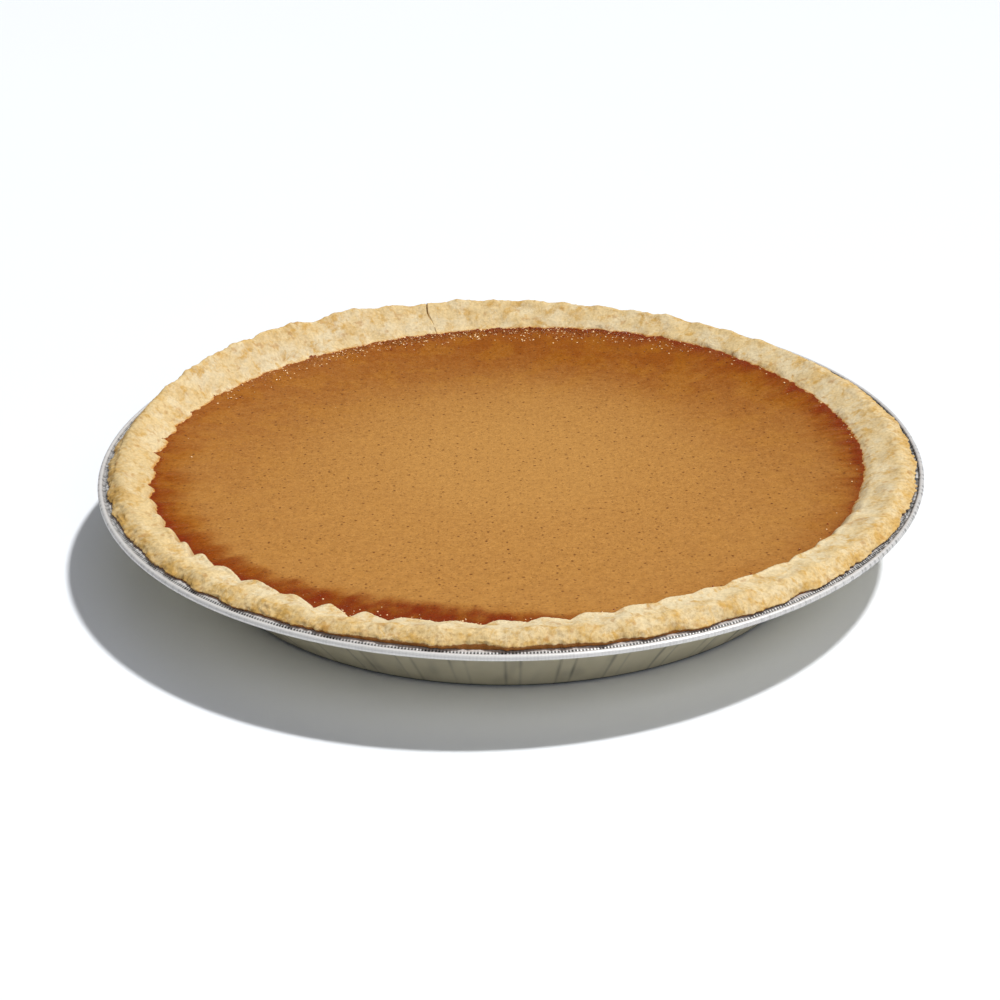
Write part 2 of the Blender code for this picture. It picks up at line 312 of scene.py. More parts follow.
# Random relief: the size of its cells, and the seed of their slopes
WALL_DENTS = (0.006, 51)
NOTCH_PATCHES = (0.006, 52)
WRINKLES = (0.0017, 53)
BUCKLES = (0.006, 54)
WALL_STREAKS = (0.0045, 55)
CREASE_SHADE_PATCHES = (0.008, 56)
KNURL = (0.0011, 57)
RAGS = (0.0013, 61)
CRUMBS = (0.0021, 62)
GRAIN = (0.0010, 63)
SWELLINGS = (0.0075, 64)
JAGS = (0.0016, 65)
BAYS = (0.0044, 66)
SKIN_FOLDS = (0.0017, 71)
SKIN_WAVES = (0.014, 72)
SKIN_BLISTERS = (0.0013, 73)
BLISTER_PATCHES = (0.009, 74)
TONGUES = (0.0042, 75)
BLOTCHES = (0.0042, 76)

# Ground: half its side
FLOOR_REACH = 4.0

# Camera: where it stands, what it looks at, its roll and its lens
EYE = Vector((0, -0.5548, 0.2787))
AIM = Vector((-0.0028, -0.0275, 0.0239))
ROLL = np.radians(-0.89)
LENS = 80.755
SENSOR = 36

# Light: a small high key from the right, two broad soft boxes and a dim white room
KEY_AZIMUTH = 5
KEY_ELEVATION = 67
KEY_SPREAD = 4
KEY_STRENGTH = 2.84
ROOM_STRENGTH = 0.08
ROOM_COLOUR = (0.96, 0.98, 1.035, 1)
BOX_DISTANCE = 1.6
FRONT_BOX = {"azimuth": 293, "elevation": 40, "width": 1.5, "height": 0.9, "power": 6.2}
TOP_BOX = {"azimuth": 95, "elevation": 64, "width": 1.4, "height": 0.8, "power": 3.3}


def swell(azimuth, centre, sharpness):
    """A smooth bump round the turn: 1 at the centre azimuth, in degrees, and near 0 opposite."""
    return np.exp(sharpness * (np.cos(azimuth - np.radians(centre)) - 1))


def side_sum(azimuth, sides):
    """Smooth bumps added up, each given by its azimuth, its sharpness and its amount."""
    return sum(amount * swell(azimuth, centre, sharpness) for centre, sharpness, amount in sides)


def ripple(azimuth, fewest, most, seed):
    """Uneven waves round the turn: sines of whole wave counts with random phases, about 1 high."""
    counts = np.arange(fewest, most + 1)
    phases = np.random.default_rng(seed).uniform(0, 2 * np.pi, counts.size)
    waves = np.sin(np.outer(azimuth, counts) + phases)
    return waves.sum(axis=1) / np.sqrt(counts.size)


def blend(low, high, share):
    return low + share * (high - low)


def ease(start, end, value):
    """0 at the start and 1 at the end, with a smooth step between them."""
    share = np.clip((value - start) / (end - start), 0, 1)
    return share * share * (3 - 2 * share)


def random_relief(azimuth, across, size, seed):
    """Gradient noise, about -1 to 1, with cells of one size on the rim. Each corner of the cells has a
    random slope, and the four slopes round a point are blended by a smooth step. A whole number of
    cells goes round the turn, so it closes. Across is a length along the profile."""
    count = round(2 * np.pi * CREST_RADIUS / size)
    x, y = np.broadcast_arrays(azimuth / (2 * np.pi) * count, (across - np.min(across)) / size)
    left, low = np.floor(x).astype(int), np.floor(y).astype(int)
    direction = np.random.default_rng(seed).uniform(0, 2 * np.pi, (count, low.max() + 2))

    def slope(right, up):
        angle = direction[(left + right) % count, low + up]
        return np.cos(angle) * (x - left - right) + np.sin(angle) * (y - low - up)

    share_x, share_y = ease(0, 1, x - left), ease(0, 1, y - low)
    lower = blend(slope(0, 0), slope(1, 0), share_x)
    upper = blend(slope(0, 1), slope(1, 1), share_x)
    return 1.5 * blend(lower, upper, share_y)


def random_edge(azimuth, size, seed):
    """Random relief that changes round the turn only."""
    return random_relief(azimuth, np.zeros(1), size, seed)


def through(rings, steps):
    """Rows through a stack of rings: the Catmull-Rom cubic, which passes through each ring in the
    direction from the one before to the one after. A whole step is a ring."""
    doubled = np.concatenate([rings[:1], rings, rings[-1:]])
    ring = np.minimum(steps.astype(int), len(rings) - 2)
    a, b, c, d = (doubled[ring + k] for k in range(4))
    s = (steps - ring)[:, None, None]
    return b + 0.5 * s * (c - a + s * (2 * a - 5 * b + 4 * c - d + s * (3 * (b - c) + d - a)))


def pushed_out(profile, relief):
    """The profile moved square to itself by a relief. Its normal is its direction turned clockwise,
    so it points out of the piece when the rows go from the bottom over the outside to the top."""
    along = np.gradient(profile, axis=0)
    along /= np.linalg.norm(along, axis=2, keepdims=True) + 1e-12
    normal = np.stack([along[..., 1], -along[..., 0]], axis=2)
    return profile + normal * relief[..., None]


def plain_rings(azimuth, *places):
    """Round rings at pairs of radius and height, as rows of a profile."""
    return np.array([np.tile(place, (azimuth.size, 1)) for place in places])


def turned(azimuth, profile):
    """Points in space of a profile of radius and height at each azimuth."""
    radius, height = profile[..., 0], profile[..., 1]
    return np.stack([radius * np.cos(azimuth), radius * np.sin(azimuth), height], axis=2)


def new_object(name, data):
    """An object at the origin, linked into the scene."""
    thing = bpy.data.objects.new(name, data)
    bpy.context.scene.collection.objects.link(thing)
    return thing


def smooth_object(name, mesh, material):
    mesh.shade_smooth()
    mesh.materials.append(material)
    return new_object(name, mesh)


def make_piece(name, azimuth, profile, ends, material, **attributes):
    """A closed surface: the profile's rows turned round the axis. Two ends, the heights of points on
    the axis, close it with fans. Without them the last row is joined to the first. Attributes give
    a value at each point. The length along the profile becomes the flow, a place on a tube that is
    drawn together, so that noise read at it is drawn out across the rim."""
    points = turned(azimuth, profile).reshape(-1, 3)
    index = np.arange(len(points)).reshape(profile.shape[:2])
    if ends is None:
        index = np.concatenate([index, index[:1]])
    right = np.roll(index, -1, axis=1)
    quads = np.stack([index[:-1], right[:-1], right[1:], index[1:]], axis=2).reshape(-1, 4)
    faces = quads.tolist()
    if ends is not None:
        bottom, top = len(points), len(points) + 1
        points = np.concatenate([points, [(0, 0, ends[0]), (0, 0, ends[1])]])
        bottom_fan = np.stack([right[0], index[0], np.full(azimuth.size, bottom)], axis=1)
        top_fan = np.stack([index[-1], right[-1], np.full(azimuth.size, top)], axis=1)
        faces += bottom_fan.tolist() + top_fan.tolist()
    mesh = bpy.data.meshes.new(name)
    mesh.from_pydata(points, [], faces)
    along = attributes.pop("along", None)
    if along is not None:
        tube_radius = np.full(profile.shape[:2], CREST_RADIUS)
        flow = turned(azimuth, np.stack([tube_radius, along / FLOW_STRETCH], axis=2))
        flow = np.concatenate([flow.reshape(-1, 3), flow[0, :1], flow[-1, :1]]).astype(np.float32)
        mesh.attributes.new("flow", "FLOAT_VECTOR", "POINT").data.foreach_set("vector", flow.ravel())
    for label, values in attributes.items():
        values = np.broadcast_to(values, profile.shape[:2]).ravel()
        if ends is not None:
            values = np.append(values, (values[0], values[-1]))
        mesh.attributes.new(label, "FLOAT", "POINT").data.foreach_set("value", values.astype(np.float32))
    return smooth_object(name, mesh, material)


def attach(piece, node):
    """Ties a piece to the body, and hides the solid that it stands for."""
    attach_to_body(piece, "root")
    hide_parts(node)


class Finish:
    """A material on the Principled shader, with short ways to add the nodes that drive it."""

    def __init__(self, name, **sockets):
        self.material = bpy.data.materials.new(name)
        self.material.use_nodes = True
        self.tree = self.material.node_tree
        self.shader = self.tree.nodes["Principled BSDF"]
        self.place = self.tree.nodes.new("ShaderNodeTexCoord").outputs["Object"]
        for label, value in sockets.items():
            self.feed(self.shader, label.replace("_", " "), value)

    def feed(self, node, socket, value):
        """Links an output to a socket, or sets the socket to a number or a colour."""
        if isinstance(value, bpy.types.NodeSocket):
            self.tree.links.new(value, node.inputs[socket])
        else:
            node.inputs[socket].default_value = value

    def add(self, kind, inputs, output=0, **settings):
        """Adds a node with its settings and inputs, and gives one of its outputs."""
        node = self.tree.nodes.new("ShaderNode" + kind)
        for label, value in settings.items():
            setattr(node, label, value)
        for socket, value in inputs.items():
            self.feed(node, socket, value)
        return node.outputs[output]

    def math(self, operation, a, b=0.0):
        return self.add("Math", {0: a, 1: b}, operation=operation)

    def attribute(self, name, output="Fac"):
        return self.add("Attribute", {}, output=output, attribute_name=name)

    def noise(self, size, detail=3, roughness=0.5, distortion=0.0, place=None):
        """Cloudy noise between 0 and 1 whose clouds are about one size across."""
        inputs = {"Vector": place or self.place, "Scale": 1 / size, "Detail": detail,
                  "Roughness": roughness, "Distortion": distortion}
        return self.add("TexNoise", inputs)

    def speckle(self, spacing, radius, share):
        """1 in small uneven specks and 0 between them: a share of points scattered in plan, one in
        each cell of the spacing, with a soft edge. The place is jogged by a fine noise."""
        jog = self.add("TexNoise", {"Vector": self.place, "Scale": 0.6 / radius}, output="Color")
        jogged = self.add("VectorMath", {0: jog, 1: (radius, 2 * radius, 0), 2: self.place},
                          operation="MULTIPLY_ADD")
        cells = {"Vector": jogged, "Scale": 1 / spacing}
        away = self.add("TexVoronoi", cells, output="Distance", voronoi_dimensions="2D")
        colour = self.add("TexVoronoi", cells, output="Color", voronoi_dimensions="2D")
        pick = self.add("SeparateColor", {0: colour})
        near = self.ramp(away, 0.5 * radius / spacing, 1.3 * radius / spacing, 1.0, 0.0)
        return self.math("MULTIPLY", near, self.ramp(pick, 1 - share - 0.05, 1 - share + 0.05))

    def ramp(self, value, low, high, start=0.0, end=1.0):
        """Start where the value is low and end where it is high, with a smooth step between."""
        inputs = {"Value": value, "From Min": low, "From Max": high, "To Min": start, "To Max": end}
        return self.add("MapRange", inputs, interpolation_type="SMOOTHSTEP")

    def mix(self, share, under, over, blend_type="MIX"):
        inputs = {"Factor": share, 6: under, 7: over}
        return self.add("Mix", inputs, output=2, data_type="RGBA", blend_type=blend_type)

    def bump(self, height, distance, under=None, strength=1.0):
        inputs = {"Height": height, "Distance": distance, "Strength": strength}
        if under is not None:
            inputs["Normal"] = under
        return self.add("Bump", inputs)


def linear(red, green, blue):
    """A colour for a shader from its 0 to 255 display values: the display curve undone."""
    shown = np.array((red, green, blue)) / 255
    light = np.where(shown <= 0.04045, shown / 12.92, ((shown + 0.055) / 1.055) ** 2.4)
    return (*light, 1)


FOIL = linear(240, 231, 203)
# Painted light: the rim's foil is a paler copy of the wall's foil, so that the bead shows white
LIT_FOIL = linear(238, 235, 231)
# Near-black foil: the colour of the cloudy stains and of the painted shade
FOIL_STAIN_AND_SHADE = linear(36, 34, 31)
CREAM = linear(226, 198, 143)
PALE = linear(230, 211, 170)
GOLD = linear(208, 165, 88)
TAN = linear(180, 124, 54)
BROWN = linear(176, 112, 48)
BURNT = linear(128, 72, 28)
STAIN = linear(206, 140, 52)
CUSTARD = linear(192, 138, 70)
TOASTED = linear(146, 77, 4)
OCHRE = linear(162, 96, 8)
CARAMEL = linear(128, 44, 4)
SPICE = linear(96, 46, 12)
# Painted highlight: the colour of the pale beads that stand for glints
GLINT = linear(255, 214, 160)
FLOOR_COOL = linear(245, 248, 252)
FLOOR_WARM = linear(243, 246, 250)
FOIL_METALLIC = 0.85
# Painted light: the rim's foil is mostly not metallic, so that it shows white
LIT_FOIL_METALLIC = 0.22


def foil(name, metallic, clean):
    """Satin pressed aluminium, finely brushed, with faint cloudy stains, and with painted shade in its
    creases, notches, streaks and heel.
    """
    finish = Finish(name, Metallic=metallic)
    cloud = finish.noise(0.012, detail=4)
    fine = finish.noise(0.0006, detail=2)
    stained = finish.mix(finish.math("MULTIPLY", cloud, 0.25), clean, FOIL_STAIN_AND_SHADE)
    # Painted shade, read from the pieces, darkens the foil towards near-black
    pit = finish.ramp(finish.attribute("pit"), 0.0, 1.0)
    finish.feed(finish.shader, "Base Color", finish.mix(pit, stained, FOIL_STAIN_AND_SHADE))
    finish.feed(finish.shader, "Roughness", finish.ramp(cloud, 0.35, 0.65, 0.36, 0.46))
    finish.feed(finish.shader, "Normal", finish.bump(fine, 0.00003))
    return finish.material


def pastry():
    """Baked shortcrust: cream with pale clouds and golden flaky mottles, golden-brown crumbs on its
    outer half, a few toasted spots, and brown to burnt below the edge. Painted light makes the right
    inner slope paler, and painted shade dims the left side."""
    finish = Finish("pastry", Roughness=0.75, IOR=1.4)
    ramp, mix, math, noise = finish.ramp, finish.mix, finish.math, finish.noise
    flow = finish.attribute("flow", "Vector")
    patches = noise(0.0065, roughness=0.55)
    mottles = noise(0.0021, detail=4, roughness=0.65, distortion=0.6)
    flakes = noise(0.0013, detail=4, roughness=0.65, place=flow)
    crumbs = noise(0.0008, roughness=0.6)
    spots = noise(0.0030, detail=2)
    blots = noise(0.0048, detail=2, distortion=0.4)
    zone = finish.attribute("golden")
    # Pale also holds painted light on the right inner slope, and painted shade below 0
    pale = math("ADD", ramp(patches, 0.40, 0.62, 0.0, 0.6), finish.attribute("pale"))
    colour = mix(ramp(pale, 0.0, 1.0), CREAM, PALE)
    tan = math("ADD", ramp(mottles, 0.46, 0.68, 0.0, 0.52), ramp(flakes, 0.50, 0.70, 0.0, 0.25))
    tan = math("ADD", tan, math("MULTIPLY", zone, 0.50))
    tan = math("ADD", tan, ramp(blots, 0.50, 0.66, 0.0, 0.45))
    colour = mix(ramp(tan, 0.0, 1.1), colour, GOLD)
    toasted = math("MULTIPLY", zone, ramp(crumbs, 0.50, 0.70))
    colour = mix(math("MULTIPLY", toasted, 0.50), colour, TAN)
    colour = mix(ramp(spots, 0.60, 0.72, 0.0, 0.46), colour, TAN)
    burnt = math("ADD", finish.attribute("burnt"), ramp(crumbs, 0.3, 0.7, -0.2, 0.2))
    colour = mix(ramp(burnt, 0.15, 0.6), colour, BROWN)
    colour = mix(ramp(burnt, 0.9, 1.3), colour, BURNT)
    stain = math("MULTIPLY", finish.attribute("stain"), ramp(crumbs, 0.3, 0.6, 0.3, 1.3))
    colour = mix(stain, colour, STAIN)
    shade = ramp(crumbs, 0.3, 0.7, 1.08, 0.88)
    colour = mix(1.0, colour, shade, "MULTIPLY")
    # Painted shade: where pale is below 0, on the left side, the colour is dimmed
    dim = ramp(finish.attribute("pale"), -0.4, 0.0, 0.86, 1.0)
    finish.feed(finish.shader, "Base Color", mix(1.0, colour, dim, "MULTIPLY"))
    rough = finish.bump(flakes, 0.00022)
    finish.feed(finish.shader, "Normal", finish.bump(crumbs, 0.00014, rough))
    return finish.material


def custard():
    """Baked pumpkin custard: a satin skin with faint streaks and specks of spice, toasted towards its
    edge, with a dark glossy caramel band along the crust that is blistered in places."""
    finish = Finish("custard", IOR=1.26)
    ramp, mix, math, noise = finish.ramp, finish.mix, finish.math, finish.noise
    flow = finish.attribute("flow", "Vector")
    clouds = noise(0.011)
    streaks = noise(0.0019, detail=4, roughness=0.65)
    rays = noise(0.0022, detail=4, roughness=0.6, place=flow)
    skin = noise(0.0007, roughness=0.7)
    blisters = noise(0.0007, detail=1)
    toast = finish.attribute("toast")
    uneven_toast = math("MULTIPLY", toast, ramp(rays, 0.3, 0.7, -0.06, 0.06))
    streaky_toast = ramp(streaks, 0.35, 0.7, -0.05, 0.07)
    toast = math("ADD", math("ADD", toast, uneven_toast), streaky_toast)
    baked = mix(ramp(clouds, 0.46, 0.60, 0.0, 0.6), TOASTED, OCHRE)
    colour = mix(toast, CUSTARD, baked)
    caramel = math("ADD", finish.attribute("caramel"), ramp(rays, 0.3, 0.7, -0.06, 0.06))
    caramel = math("MULTIPLY", caramel, ramp(finish.attribute("caramel"), 0.0, 0.25))
    band = ramp(caramel, 0.0, 1.0)
    colour = mix(band, colour, CARAMEL)
    colour = mix(1.0, colour, ramp(skin, 0.3, 0.7, 1.10, 0.90), "MULTIPLY")
    colour = mix(1.0, colour, ramp(streaks, 0.3, 0.7, 1.05, 0.95), "MULTIPLY")
    colour = mix(ramp(skin, 0.64, 0.72, 0.0, 0.45), colour, SPICE)
    colour = mix(ramp(skin, 0.27, 0.34, 0.25, 0.0), colour, CREAM)
    dark = math("MULTIPLY", finish.speckle(0.0043, 0.00036, 0.5), 0.70)
    faint = math("MULTIPLY", finish.speckle(0.0018, 0.00026, 0.5), 0.42)
    colour = mix(math("ADD", dark, faint), colour, SPICE)
    finish.feed(finish.shader, "Base Color", colour)
    finish.feed(finish.shader, "Roughness", ramp(band, 0.0, 0.8, 0.42, 0.18))
    uneven = finish.bump(streaks, 0.0003)
    pitted = finish.bump(skin, 0.00014, uneven)
    glossy = finish.bump(blisters, 0.0010, pitted, finish.attribute("blister"))
    finish.feed(finish.shader, "Normal", glossy)
    return finish.material


def syrup():
    """Bubbled syrup: some beads are painted glints, pale and bright, and the others are dark caramel."""
    finish = Finish("syrup", Roughness=0.2, IOR=1.45)
    # Painted highlight: about half the beads are pale glints
    pale = finish.ramp(finish.noise(0.0009, detail=1), 0.46, 0.54)
    finish.feed(finish.shader, "Base Color", finish.mix(pale, GLINT, CARAMEL))
    return finish.material


def flange_top():
    """Height of the flange's upper side, over the base."""
    return RIM_HEIGHT + FLANGE_RISE


def wall_inner(height, inset):
    """Radius of the tin's inner wall at a height, moved inwards by an inset square to the wall."""
    run = WALL_TOP_RADIUS - BASE_RADIUS - HEEL_WIDTH
    rise = flange_top() - SHEET - HEEL_HEIGHT
    slant = np.hypot(run, rise) / rise
    outer = BASE_RADIUS + HEEL_WIDTH + (height - HEEL_HEIGHT) * run / rise
    return outer - (SHEET + inset) * slant


def pleat_distance(azimuth):
    """Distance to the middle of the nearest rib, as a share of their pitch."""
    return np.abs((azimuth / (2 * np.pi) * PLEATS + 0.5) % 1 - 0.5)


def pleat(azimuth):
    """Ribs pressed out of the wall: flat on the crest, with smooth flanks down to their feet."""
    return PLEAT_HEIGHT * ease(PLEAT_FOOT_SHARE, PLEAT_CREST_SHARE, pleat_distance(azimuth))


def even_turn(count):
    """Azimuths of evenly spaced columns, from 0 on."""
    return np.arange(count) * 2 * np.pi / count


def make_tin_body(material):
    """Base, heel and pleated wall. The wall is a cone whose ribs grow from nothing at the heel to
    their full height at the top, with small random dents. The inside repeats it a sheet further in.
    Painted shade: dark creases beside the ribs, faint dark streaks up the wall in place of its uneven
    reflections, and a heel, base and hidden inside that are dark."""
    azimuth = even_turn(PLEATS * COLUMNS_PER_PLEAT)
    share = np.linspace(0, 1, WALL_ROWS)[:, None]
    rib = pleat(azimuth) * share
    dents = WALL_DENT * random_relief(azimuth, share * DENT_REACH, *WALL_DENTS) * np.sin(np.pi * share)
    outer_radius = blend(BASE_RADIUS + HEEL_WIDTH, WALL_TOP_RADIUS, share) + rib + dents
    outer_height = blend(HEEL_HEIGHT, flange_top() - SHEET / 2, share) + 0 * azimuth
    outer = np.stack([outer_radius, outer_height], axis=2)
    inner_height = blend(flange_top() - SHEET / 2, HEEL_HEIGHT + SHEET, share) + 0 * azimuth
    inner = np.stack([wall_inner(inner_height, 0) + rib[::-1] + dents[::-1], inner_height], axis=2)
    base = plain_rings(azimuth, *BASE_RINGS)
    floor = plain_rings(azimuth, (BASE_RADIUS - HEEL_WIDTH, SHEET), (CORE_RADIUS, SHEET))
    profile = np.concatenate([base, outer, inner, floor])
    flank = blend(PLEAT_CREST_SHARE, PLEAT_FOOT_SHARE, 0.5)
    crease = ease(*CREASE_REACH, np.abs(pleat_distance(azimuth) - flank))
    crease_shade_strength = CREASE_SHADE_MIDDLE + CREASE_SHADE_SPREAD * random_relief(azimuth, share * STREAK_REACH, *CREASE_SHADE_PATCHES)
    streak = np.maximum(random_relief(azimuth, share * STREAK_REACH, *WALL_STREAKS), 0)
    on_wall = np.sin(np.pi * blend(WALL_FADE, 1, share)) ** 0.5
    # Painted shade: the base, the heel's underside and the hidden inside are dark all over
    pit = np.ones(profile.shape[:2])
    wall = slice(len(base), len(base) + len(outer))
    # Painted shade on the wall: creases beside the ribs, streaks in place of uneven reflections, a
    # darker heel
    pit[wall] = on_wall * (CREASE_SHADE * crease * crease_shade_strength + STREAK_SHADE * streak)
    pit[wall] += HEEL_SHADE * (1 - share)**2
    piece = make_piece("tin_body", azimuth, profile, (0, SHEET), material, pit=pit)
    attach(piece, "foil_tin")


def rim_section():
    """Rows of radius and height: the flange's underside, the bead, which is an arc from under the
    flange to a groove on top of it, then the groove and the flange inwards to the wall."""
    centre = RIM_RADIUS - BEAD_RADIUS
    start = np.pi + np.arcsin((SHEET - FLANGE_RISE) / BEAD_RADIUS)
    end = 3 * np.pi - np.arcsin(FLANGE_RISE / BEAD_RADIUS)
    angle = np.linspace(start, end, BEAD_ROWS)
    bead = np.stack([np.cos(angle), np.sin(angle)], axis=1) * BEAD_RADIUS + (centre, RIM_HEIGHT)
    radii = np.concatenate([GROOVE_RADIUS + GROOVE_HALF_WIDTH * GROOVE_SHARES, FLANGE_RADII])
    away = np.abs(radii - GROOVE_RADIUS)
    depth = GROOVE_DEPTH * ease(GROOVE_HALF_WIDTH, 0.3 * GROOVE_HALF_WIDTH, away)
    top = np.stack([radii, flange_top() - depth], axis=1)
    under = [(WALL_TOP_RADIUS - SHEET, flange_top() - SHEET), (UNDERSIDE_RADIUS, flange_top() - SHEET)]
    inner_corner = [(wall_inner(flange_top(), 0), flange_top())]
    return np.concatenate([under, bead, top, inner_corner])


def make_tin_rim(material):
    """Flange and rolled bead. Notches are a cosine round the turn, deepest in the groove. Wrinkles on
    the flange are noise drawn out along the radius. The knurl is a finer noise, cut off to dashes."""
    azimuth = even_turn(NOTCHES * COLUMNS_PER_NOTCH)
    section = rim_section()
    profile = np.repeat(section[:, None, :], azimuth.size, axis=1)
    radius, height = section[:, :1], section[:, 1:]
    centre = RIM_RADIUS - BEAD_RADIUS
    on_bead = ease(centre, centre + 0.5 * BEAD_RADIUS, radius)
    on_top = ease(flange_top() - SHEET, flange_top() - GROOVE_DEPTH, height)
    on_top = on_top * ease(centre, centre - BEAD_RADIUS, radius)
    from_groove = np.abs(radius - GROOVE_RADIUS)
    in_groove = on_top * ease(2 * GROOVE_HALF_WIDTH, 0.5 * GROOVE_HALF_WIDTH, from_groove)
    patchy = NOTCH_MIDDLE + NOTCH_SPREAD * random_edge(azimuth, *NOTCH_PATCHES)
    pressed = (1 - np.cos(azimuth * NOTCHES)) / 2 * patchy
    wrinkles = random_relief(azimuth, radius / WRINKLE_STRETCH, *WRINKLES)
    wrinkles = wrinkles + random_relief(azimuth, radius / BUCKLE_STRETCH, *BUCKLES)
    dashes = ease(*KNURL_FADE, random_edge(azimuth, *KNURL))
    knurl = side_sum(azimuth, KNURL_SIDES) * dashes
    relief = WRINKLE_HEIGHT * wrinkles * on_top
    relief = relief - (NOTCH_DEPTH * in_groove + FLANGE_NOTCH_DEPTH * on_top) * pressed
    relief = relief - KNURL_DEPTH * knurl * np.maximum(on_bead, on_top)
    # Painted shade: the groove, the notches on groove, flange and bead, and the knurl's dashes go dark,
    # less at the left
    pit = in_groove * (GROOVE_SHADE + NOTCH_SHADE * pressed)
    pit = pit + (FLANGE_SHADE * on_top + BEAD_SHADE * on_bead) * pressed
    pit = pit * (1 - FAINT_SHADE_SHARE * swell(azimuth, *FAINT_SHADE_SIDE))
    pit = pit + KNURL_SHADE * knurl * np.maximum(on_bead, KNURL_FLANGE_SHARE * on_top)
    piece = make_piece("tin_rim", azimuth, pushed_out(profile, relief), None, material, pit=pit)
    attach(piece, "foil_tin")


def tooth(azimuth):
    """Pointed teeth with round bays between them: the absolute value of a sine, turned over. Its
    angle drifts, so the teeth are unevenly spaced, and runs ahead between the teeth, so each rises
    slowly and falls quickly. They are longest at the left, and uneven in length."""
    angle = TEETH * (azimuth - np.radians(TOOTH_AZIMUTH)) + TOOTH_DRIFT * ripple(azimuth, *DRIFT_WAVES)
    wave = 1 - np.abs(np.sin((angle + TOOTH_LEAN * (1 - np.cos(angle))) / 2))
    length = TOOTH_LENGTH + TOOTH_EXTRA * swell(azimuth, *TOOTH_SIDE)
    uneven = 1 + TOOTH_UNEVEN * ripple(azimuth, *TOOTH_WAVES)
    return length * (wave * uneven - TOOTH_SET_BACK)


def crest_height(azimuth):
    """Height of the rim's crest: high at the back left, lower elsewhere, and lumpy."""
    high = HIGH_SIDE_RISE * swell(azimuth, *HIGH_SIDE)
    back = BACK_RISE * swell(azimuth, *BACK_SIDE)
    front = FRONT_RISE * swell(azimuth, *FRONT_SIDE)
    lumps = CREST_LUMP * ripple(azimuth, *CREST_WAVES) + flute(azimuth) + side_sum(azimuth, CREST_DENTS)
    return CREST_HEIGHT + high + back + front + lumps


def lip_height(azimuth):
    """Height of the lip: a low step over the contact with the filling, lower at each tooth. It is
    raised at the front left and more so at the front right."""
    left = LIP_LEFT_RISE * swell(azimuth, *LEFT_LIP)
    right = LIP_RIGHT_RISE * swell(azimuth, *RIGHT_LIP)
    lumps = LIP_LUMP * ripple(azimuth, *LIP_WAVES) - LIP_NOTCH_SHARE * tooth(azimuth)
    return contact_height(azimuth) + LIP_STEP + left + right + lumps


def crust_shift(azimuth):
    """How far the crust's inner side stands further in than elsewhere."""
    return side_sum(azimuth, SHIFTED_SIDES)


def flute(azimuth):
    """Soft flutes pressed across the rim, one for each tooth: a wave that rises slowly and falls
    quickly, as a sine less some of the sine of twice its angle."""
    angle = TEETH * (azimuth - np.radians(FLUTE_AZIMUTH))
    return FLUTE_HEIGHT * (np.sin(angle) - FLUTE_LEAN * np.sin(2 * angle))


def edge_height(azimuth):
    """Height of the rim's outer edge: low over the flange, but turned up along the front."""
    return EDGE_HEIGHT + EDGE_FRONT_RISE * swell(azimuth, *FRONT_EDGE)


def edge_reach(azimuth):
    """Radius of the rim's outer edge: wavy and ragged, and spread further out at the right."""
    waves = EDGE_LUMP * ripple(azimuth, *EDGE_WAVES)
    ragged = RAGGED_EDGE * random_edge(azimuth, *RAGS)
    spread = EDGE_SPREAD * swell(azimuth, *SPREAD_SIDE)
    return RIM_EDGE_RADIUS + waves + (ragged + spread)


def filling_contact(azimuth):
    """Radius of the line where the filling meets the crust: with teeth, waves and fine jags, further
    in at the front right, and with bays at the back right."""
    uneven = CONTACT_LUMP * ripple(azimuth, *CONTACT_WAVES)
    jags = CONTACT_JAG * random_edge(azimuth, *JAGS)
    bays = CONTACT_BAY * swell(azimuth, *BAY_SIDE) * random_edge(azimuth, *BAYS)
    return FILLING_RADIUS + tooth(azimuth) + uneven + (jags + bays) - crust_shift(azimuth)


def contact_height(azimuth):
    """Height of the filling's edge, which climbs up the crust a little at the back right."""
    return FILLING_EDGE_HEIGHT + FILLING_CLIMB * swell(azimuth, *CLIMB_SIDE)


def rim_rings(azimuth, foot):
    """The rim's ten rings of radius and height, from its foot on the flange, round its outer edge and
    over its crest, down to the lip and to the contact with the filling."""
    crest = crest_height(azimuth)
    lip = lip_height(azimuth)
    edge = edge_height(azimuth)
    crest_radius = CREST_RADIUS + CREST_BACK_SHIFT * swell(azimuth, *CREST_SIDE)
    lip_radius = LIP_RADIUS + LIP_TOOTH_SHARE * tooth(azimuth) - LIP_SHIFT_SHARE * crust_shift(azimuth)
    edge_radius = edge_reach(azimuth)
    shoulder = blend(edge, crest, SHOULDER_UP) + SLOPE_LUMP * ripple(azimuth, *SHOULDER_WAVES)
    upper_slope = blend(lip, crest, UPPER_SLOPE_UP) + SLOPE_LUMP * ripple(azimuth, *SLOPE_WAVES)
    rings = [
        (FOOT_RADIUS, foot),
        (edge_radius - EDGE_UNDERCUT, blend(foot, edge, UNDERCUT_UP)),
        (edge_radius - LOWER_EDGE_CUT * EDGE_UNDERCUT, blend(foot, edge, LOWER_EDGE_UP)),
        (edge_radius, edge),
        (blend(crest_radius, RIM_EDGE_RADIUS, SHOULDER_OUT), shoulder),
        (crest_radius, crest),
        (blend(lip_radius, crest_radius, UPPER_SLOPE_OUT), upper_slope),
        (blend(lip_radius, crest_radius, SLOPE_OUT), blend(lip, crest, SLOPE_UP)),
        (lip_radius, lip),
        (filling_contact(azimuth) - CONTACT_LAP, contact_height(azimuth) - CONTACT_DROP),
    ]
    level = np.zeros_like(azimuth)
    return np.array([np.stack([radius + level, RIM_HEIGHT + height + level], axis=1)
                     for radius, height in rings])


def crust_azimuths():
    """Evenly spaced columns, and more of them close together at the crack."""
    crack = np.radians(CRACK_AZIMUTH + np.linspace(-CRACK_SPREAD, CRACK_SPREAD, CRACK_COLUMNS))
    return np.unique(np.concatenate([even_turn(CRUST_COLUMNS) + 0.0001, crack]))


